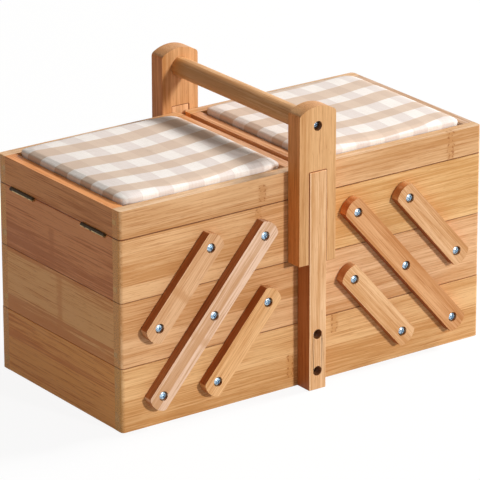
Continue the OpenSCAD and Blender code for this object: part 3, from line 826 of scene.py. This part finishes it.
# The small screws that hold the hinge leaves, too fine to be parts of their own: where they sit,
# and the height of the leaf that each row is let into with the side on which its heads show
LEAF_SCREW_X = 171.2 * MM
HINGE_YS = (-50 * MM, 50 * MM)
LEAF_SCREW_OFFS = (-10 * MM, 10 * MM)
LEAF_FACES = {"top_tray": (156.6 * MM, 1), "lid": (156.8 * MM, -1)}
LEAF_SCREW_R = 1.6 * MM
LEAF_SCREW_RISE = 0.06 * MM
LEAF_SCREW_AROUND = 24
SLOT_DEPTH = 0.5 * MM


def leaf_screws(side, body, metal):
    """Flat heads let into the leaves, each with a straight slot. A head is two half discs, and the
    slot is the gap between them."""
    face_z, up = LEAF_FACES[body]
    top = face_z + up * LEAF_SCREW_RISE
    floor_z = top - up * SLOT_DEPTH
    around = LEAF_SCREW_AROUND
    half = around // 2
    vertices = []
    faces = []
    for y in [hinge_y + off for hinge_y in HINGE_YS for off in LEAF_SCREW_OFFS]:
        first = len(vertices)
        for radius, z in ((LEAF_SCREW_R, face_z), (LEAF_SCREW_R - LEAF_SCREW_RISE, top)):
            for k in range(around):
                angle = 2 * math.pi * (k + 0.5) / around
                vertices.append((SIDES[side] * LEAF_SCREW_X + radius * math.cos(angle),
                                 y + radius * math.sin(angle), z))
        for k in range(around):
            n = (k + 1) % around
            faces.append((first + k, first + n, first + around + n, first + around + k))
        ring = [first + around + k for k in range(around)]
        upper = ring[:half]
        lower = ring[half:]
        corners = [upper[0], upper[-1], lower[0], lower[-1]]
        sunk = []
        for corner in corners:
            corner_x, corner_y, _ = vertices[corner]
            sunk.append(len(vertices))
            vertices.append((corner_x, corner_y, floor_z))
        faces.append(tuple(upper))
        faces.append(tuple(lower))
        faces.append((corners[0], corners[1], sunk[1], sunk[0]))
        faces.append((corners[2], corners[3], sunk[3], sunk[2]))
        faces.append((sunk[0], sunk[1], sunk[2], sunk[3]))
    name = f"{side}_{body}_leaf_screws"
    mesh = bpy.data.meshes.new(name)
    mesh.from_pydata(vertices, [], faces)
    mesh.materials.append(metal)
    mesh.update()
    screws = bpy.data.objects.new(name, mesh)
    bpy.context.scene.collection.objects.link(screws)
    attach(screws, f"{side}_{body}")


# Pads: a grid of rings from the foot to the crown, blown up as cloth and set back into the frame.
# The skin stands up steeply at the front and the left, and slopes off at the back and the right.
PAD_AROUND = 176
ROLL_RINGS = 12
TOP_RINGS = 20

# The section of the skin: its lowest part as pairs of share of the full width and share of the
# height of the belly, where it is widest. Of the other pairs, the first value is for the sloping
# sides and the second for the steep ones.
WALL_SHAPE = ((0.965, 0.0), (0.98, 0.25), (0.99, 0.5), (0.998, 0.8), (1.0, 1.0))
PAD_BELLY_OVER_RIM = (0.6 * MM, 3.2 * MM)
PAD_ROLL = (12 * MM, 4.6 * MM)
PAD_SHOULDER_OVER_RIM = 6.2 * MM
PAD_ROLL_POWER = 2.2
ROLL_SPACING_POWER = 1.5
CROWN_POWER = 3

# The outline of the rings: nearly square at the walls, and rounder towards the crown
PAD_SQUARE = 20
CROWN_SQUARE = 2.5
SQUARE_SPREAD = 5

# Room around the skin before it swells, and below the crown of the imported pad
PAD_START_GAP = 0.6 * MM
PAD_SWELL_ROOM = 1.2 * MM

# How the skin swells, the most that a point may move, and how often the movement is evened out
# between each point and its four neighbours, which all count alike
PAD_PRESSURE = 4
CLOTH_QUALITY = 5
CLOTH_FRAMES = 20
PAD_CAP = 2.0 * MM
EVENING_PASSES = 60
EVENING_SHARE = 1 / 5

# Unevenness of the filling: broad swells and small ripples, in waves per metre, less of both near
# the walls. Then the room left to the wood, and the most that a pad may rise over its crown.
SWELL_WAVES = 22
RIPPLE_WAVES = 55
SWELL_SEED = 3.7
RIPPLE_SEED = 9.1
RIPPLE_H = 0.3 * MM
WALL_UNEVENNESS = 0.35
WALL_FALL_POWER = 4
PAD_WALL_GAP = {"left": 0.7 * MM, "right": 0.3 * MM}
CROWN_ROOM = 0.6 * MM


def pad_section(half, steep, rim_h, crown_h):
    """The skin from the foot to the crown at one place around a pad, each point as (share of the
    full width, height). steep is 0 for the sloping side of the pad and 1 for the upright one."""
    low_belly, high_belly = PAD_BELLY_OVER_RIM
    wide_roll, tight_roll = PAD_ROLL
    belly_h = rim_h + low_belly + steep * (high_belly - low_belly)
    roll = wide_roll + steep * (tight_roll - wide_roll)
    shoulder_h = rim_h + PAD_SHOULDER_OVER_RIM
    section = [(share, belly_h * part) for share, part in WALL_SHAPE]
    for i in range(1, ROLL_RINGS):
        inward = (i / ROLL_RINGS) ** ROLL_SPACING_POWER
        rise = (1 - (1 - inward) ** PAD_ROLL_POWER) ** (1 / PAD_ROLL_POWER)
        section.append((1 - inward * roll / half, belly_h + (shoulder_h - belly_h) * rise))
    edge = 1 - roll / half
    for i in range(TOP_RINGS):
        share = edge * (1 - i / TOP_RINGS)
        crown = 1 - (share / edge) ** CROWN_POWER
        section.append((share, shoulder_h + (crown_h - shoulder_h) * crown))
    return section


def pad_column(angle, half_x, half_y, rim_h, crown_h):
    """The skin from the foot to the crown in one direction from the middle of a pad. Each point is
    its place on the pad and its place on the flat cloth."""
    cos_a, sin_a = math.cos(angle), math.sin(angle)
    toward_x = abs(cos_a) ** (PAD_SQUARE - 1)
    toward_y = abs(sin_a) ** (PAD_SQUARE - 1)
    steep = (toward_x * (cos_a < 0) + toward_y * (sin_a < 0)) / (toward_x + toward_y)
    section = pad_section(half_x, steep, rim_h, crown_h)
    run = section[-1][0] * half_x
    inner = section[-1]
    column = []
    for share, z in reversed(section):
        run += math.hypot((share - inner[0]) * half_x, z - inner[1])
        inner = (share, z)
        power = CROWN_SQUARE + (PAD_SQUARE - CROWN_SQUARE) * share ** SQUARE_SPREAD
        size = share / (abs(cos_a) ** power + abs(sin_a) ** power) ** (1 / power)
        x = half_x * size * cos_a
        y = half_y * size * sin_a
        weight_x = abs(cos_a) ** (power - 1)
        weight_y = abs(sin_a) ** (power - 1)
        extra = (run - share * half_x) / math.hypot(weight_x, weight_y)
        flat_x = x + math.copysign(extra * weight_x, x)
        flat_y = y + math.copysign(extra * weight_y, y)
        column.append(((x, y, z), (flat_x, flat_y, 0.0)))
    return column[::-1]


def pad_mesh(name, low, high, foot_z, crown_z, rim_z):
    """The closed skin of a pad, with the attribute cloth that its checks follow."""
    centre = (low + high) / 2
    half_x = (high.x - low.x) / 2 - PAD_START_GAP
    half_y = (high.y - low.y) / 2 - PAD_START_GAP
    rim_h = rim_z - foot_z
    crown_h = crown_z - PAD_SWELL_ROOM - foot_z
    columns = []
    for k in range(PAD_AROUND):
        angle = 2 * math.pi * k / PAD_AROUND
        columns.append(pad_column(angle, half_x, half_y, rim_h, crown_h))
    ring_count = len(columns[0])
    points = [column[i] for i in range(ring_count) for column in columns]
    points.append(((0.0, 0.0, crown_h), (0.0, 0.0, 0.0)))
    points.append(((0.0, 0.0, 0.0), (0.0, 0.0, 0.0)))
    crown = len(points) - 2
    foot = len(points) - 1
    last = (ring_count - 1) * PAD_AROUND
    faces = []
    for i in range(ring_count - 1):
        for k in range(PAD_AROUND):
            n = (k + 1) % PAD_AROUND
            faces.append((i * PAD_AROUND + k, i * PAD_AROUND + n,
                          (i + 1) * PAD_AROUND + n, (i + 1) * PAD_AROUND + k))
    for k in range(PAD_AROUND):
        n = (k + 1) % PAD_AROUND
        faces.append((last + k, last + n, crown))
        faces.append((n, k, foot))
    mesh = bpy.data.meshes.new(name)
    places = [(centre.x + x, centre.y + y, foot_z + z) for (x, y, z), _ in points]
    mesh.from_pydata(places, [], faces)
    attribute = mesh.attributes.new("cloth", "FLOAT_VECTOR", "POINT")
    for i, (_, flat) in enumerate(points):
        attribute.data[i].vector = flat
    mesh.update()
    return mesh


def even_out(steps, ring_count):
    """Averages the movement of each point with its neighbours on the rings of the skin, so that
    the swelling stays and its small creases go. The held rings stay where they are."""
    first_free = len(WALL_SHAPE)
    crown = ring_count * PAD_AROUND
    for _ in range(EVENING_PASSES):
        before = [step.copy() for step in steps]
        for i in range(first_free, ring_count):
            n = i * PAD_AROUND
            for k in range(PAD_AROUND):
                inward = before[n + PAD_AROUND + k] if i < ring_count - 1 else before[crown]
                outward = before[n - PAD_AROUND + k]
                beside = before[n + (k + 1) % PAD_AROUND] + before[n + (k - 1) % PAD_AROUND]
                around = inward + outward + beside
                steps[n + k] = before[n + k] * EVENING_SHARE + around * EVENING_SHARE
        last_ring = before[crown - PAD_AROUND:crown]
        steps[crown] = sum(last_ring, Vector()) / PAD_AROUND


def blow_up(pad):
    """Lets the skin swell as cloth under pressure, held at its walls and foot by the frame, then
    sets it as the new shape."""
    foot = len(pad.data.vertices) - 1
    walls = range(len(WALL_SHAPE) * PAD_AROUND)
    held = pad.vertex_groups.new(name="held")
    held.add([*walls, foot], 1.0, "REPLACE")
    start = [vertex.co.copy() for vertex in pad.data.vertices]
    cloth = pad.modifiers.new("cloth", "CLOTH")
    cloth.settings.use_pressure = True
    cloth.settings.uniform_pressure_force = PAD_PRESSURE
    cloth.settings.quality = CLOTH_QUALITY
    cloth.settings.vertex_group_mass = "held"
    cloth.settings.effector_weights.gravity = 0
    cloth.collision_settings.use_collision = False
    scene = bpy.context.scene
    for step in range(1, CLOTH_FRAMES + 1):
        scene.frame_set(step)
    swollen = pad.evaluated_get(bpy.context.evaluated_depsgraph_get())
    moved = [vertex.co.copy() for vertex in swollen.data.vertices]
    pad.modifiers.remove(cloth)
    pad.vertex_groups.remove(held)
    scene.frame_set(1)
    steps = []
    for old, new in zip(start, moved):
        step = new - old
        if step.length > PAD_CAP:
            step = step * (PAD_CAP / step.length)
        steps.append(step)
    even_out(steps, (len(start) - 2) // PAD_AROUND)
    for vertex, old, step in zip(pad.data.vertices, start, steps):
        vertex.co = old + step


def settle(pad, low, high, foot_z, crown_z, rim_z, lay, wall_gap):
    """Lets the filling lie unevenly, and keeps the pad inside its frame and on its panel."""
    centre = (low + high) / 2
    half = (high - low) / 2
    swell_seed = lay["seed"] * SWELL_SEED
    ripple_seed = lay["seed"] * RIPPLE_SEED
    for vertex in pad.data.vertices:
        co = vertex.co
        u = (co.x - centre.x) / half.x
        v = (co.y - centre.y) / half.y
        inner = max(0.0, 1 - max(abs(u), abs(v)) ** WALL_FALL_POWER)
        if co.z > rim_z:
            swell = noise.noise(Vector((co.x * SWELL_WAVES, co.y * SWELL_WAVES, swell_seed)))
            ripple = noise.noise(Vector((co.x * RIPPLE_WAVES, co.y * RIPPLE_WAVES, ripple_seed)))
            uneven = WALL_UNEVENNESS + (1 - WALL_UNEVENNESS) * inner
            co.z += (lay["waves"] * swell + RIPPLE_H * ripple) * uneven
        co.z = min(max(co.z, foot_z), crown_z + CROWN_ROOM)
        co.x = min(max(co.x, low.x + wall_gap), high.x - wall_gap)
        co.y = min(max(co.y, low.y + wall_gap), high.y - wall_gap)


def make_pad(side):
    outer_low, outer_high = (Vector(c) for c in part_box(f"{side}_lid_outer_rail"))
    inner_low, inner_high = (Vector(c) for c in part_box(f"{side}_lid_inner_rail"))
    solid_low, solid_high = (Vector(c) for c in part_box(f"{side}_lid_pad"))
    if side == "left":
        walls_x = (outer_high.x, inner_low.x)
    else:
        walls_x = (inner_high.x, outer_low.x)
    low = Vector((walls_x[0], outer_low.y, 0))
    high = Vector((walls_x[1], outer_high.y, 0))
    rim_z = outer_high.z
    mesh = pad_mesh(f"{side}_pad", low, high, solid_low.z, solid_high.z, rim_z)
    pad = bpy.data.objects.new(f"{side}_pad", mesh)
    bpy.context.scene.collection.objects.link(pad)
    blow_up(pad)
    settle(pad, low, high, solid_low.z, solid_high.z, rim_z, CLOTHS[side], PAD_WALL_GAP[side])
    for polygon in mesh.polygons:
        polygon.use_smooth = True
    smooth = pad.modifiers.new("smooth", "SUBSURF")
    smooth.levels = 1
    smooth.render_levels = 1
    mesh.materials.append(gingham(side))
    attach(pad, f"{side}_lid")
    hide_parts(f"{side}_lid_pad")


# Studio: a pale floor and background, one lamp low in front and one high on the right
WORLD_LEVEL = 0.27
WORLD_TINT = (1.0, 0.91, 0.82, 1)
WHITE = (1, 1, 1, 1)
FLOOR_REACH = 6.0
FLOOR_TONE = (0.45, 0.45, 0.45, 1)
SHADOWED_TONE = (0.96, 0.96, 0.96, 1)
FLOOR_SHADOW = 0.10
LAMP_AIM = Vector((0, 0, 0.1))
LAMPS = {
    "key": {"towards": (0.24, -1.0, 0.32), "distance": 4.4, "size": 0.50, "power": 116},
    "top": {"towards": (0.76, -0.08, 0.69), "distance": 5.0, "size": 1.15, "power": 222},
}


def seen_or_mirrored(tree):
    """1 for rays from the camera and for rays that a gloss or glass sends out."""
    path = tree.nodes.new("ShaderNodeLightPath")
    seen = path.outputs["Is Camera Ray"]
    for ray in ("Is Glossy Ray", "Is Transmission Ray"):
        either = tree.nodes.new("ShaderNodeMath")
        either.operation = "MAXIMUM"
        tree.links.new(seen, either.inputs[0])
        tree.links.new(path.outputs[ray], either.inputs[1])
        seen = either.outputs[0]
    return seen


def floor_material():
    """White with the object's shadow to the camera, and a plain pale floor to all other light."""
    material = bpy.data.materials.new("floor")
    material.use_nodes = True
    tree = material.node_tree
    tree.nodes.clear()
    out = tree.nodes.new("ShaderNodeOutputMaterial")
    plain = tree.nodes.new("ShaderNodeBsdfDiffuse")
    plain.inputs["Color"].default_value = FLOOR_TONE
    shadowed = tree.nodes.new("ShaderNodeBsdfDiffuse")
    shadowed.inputs["Color"].default_value = SHADOWED_TONE
    white = tree.nodes.new("ShaderNodeEmission")
    white.inputs["Strength"].default_value = 1.0
    shown = tree.nodes.new("ShaderNodeMixShader")
    shown.inputs[0].default_value = FLOOR_SHADOW
    tree.links.new(white.outputs[0], shown.inputs[1])
    tree.links.new(shadowed.outputs[0], shown.inputs[2])
    choice = tree.nodes.new("ShaderNodeMixShader")
    tree.links.new(seen_or_mirrored(tree), choice.inputs[0])
    tree.links.new(plain.outputs[0], choice.inputs[1])
    tree.links.new(shown.outputs[0], choice.inputs[2])
    tree.links.new(choice.outputs[0], out.inputs["Surface"])
    return material


def lay_floor():
    corners = [
        (-FLOOR_REACH, -FLOOR_REACH, 0),
        (FLOOR_REACH, -FLOOR_REACH, 0),
        (FLOOR_REACH, FLOOR_REACH, 0),
        (-FLOOR_REACH, FLOOR_REACH, 0),
    ]
    mesh = bpy.data.meshes.new("floor")
    mesh.from_pydata(corners, [], [(0, 1, 2, 3)])
    mesh.materials.append(floor_material())
    floor = bpy.data.objects.new("floor", mesh)
    bpy.context.scene.collection.objects.link(floor)


def light_world():
    """White to the camera and in mirrored light, and a dim warm light on the object."""
    world = bpy.data.worlds.new("studio")
    world.use_nodes = True
    tree = world.node_tree
    background = tree.nodes["Background"]
    seen = seen_or_mirrored(tree)
    level = tree.nodes.new("ShaderNodeMapRange")
    level.inputs["To Min"].default_value = WORLD_LEVEL
    level.inputs["To Max"].default_value = 1.0
    tree.links.new(seen, level.inputs["Value"])
    tree.links.new(level.outputs[0], background.inputs["Strength"])
    tint = tree.nodes.new("ShaderNodeMix")
    tint.data_type = "RGBA"
    tint.inputs[6].default_value = WORLD_TINT
    tint.inputs[7].default_value = WHITE
    tree.links.new(seen, tint.inputs[0])
    tree.links.new(tint.outputs[2], background.inputs["Color"])
    bpy.context.scene.world = world


def hang_lamp(name, towards, distance, size, power):
    data = bpy.data.lights.new(name, "AREA")
    data.shape = "DISK"
    data.size = size
    data.energy = power
    lamp = bpy.data.objects.new(name, data)
    bpy.context.scene.collection.objects.link(lamp)
    direction = Vector(towards).normalized()
    lamp.location = LAMP_AIM + direction * distance
    lamp.rotation_euler = direction.to_track_quat("Z", "Y").to_euler()


place_camera()
dress_wood()
bright_metal = dress_metal()
for side in SIDES:
    make_pad(side)
    for body in LEAF_FACES:
        leaf_screws(side, body, bright_metal)
lay_floor()
light_world()
for name, lamp in LAMPS.items():
    hang_lamp(name, **lamp)
bpy.context.scene.view_settings.view_transform = "Standard"

bpy.context.view_layer.update()
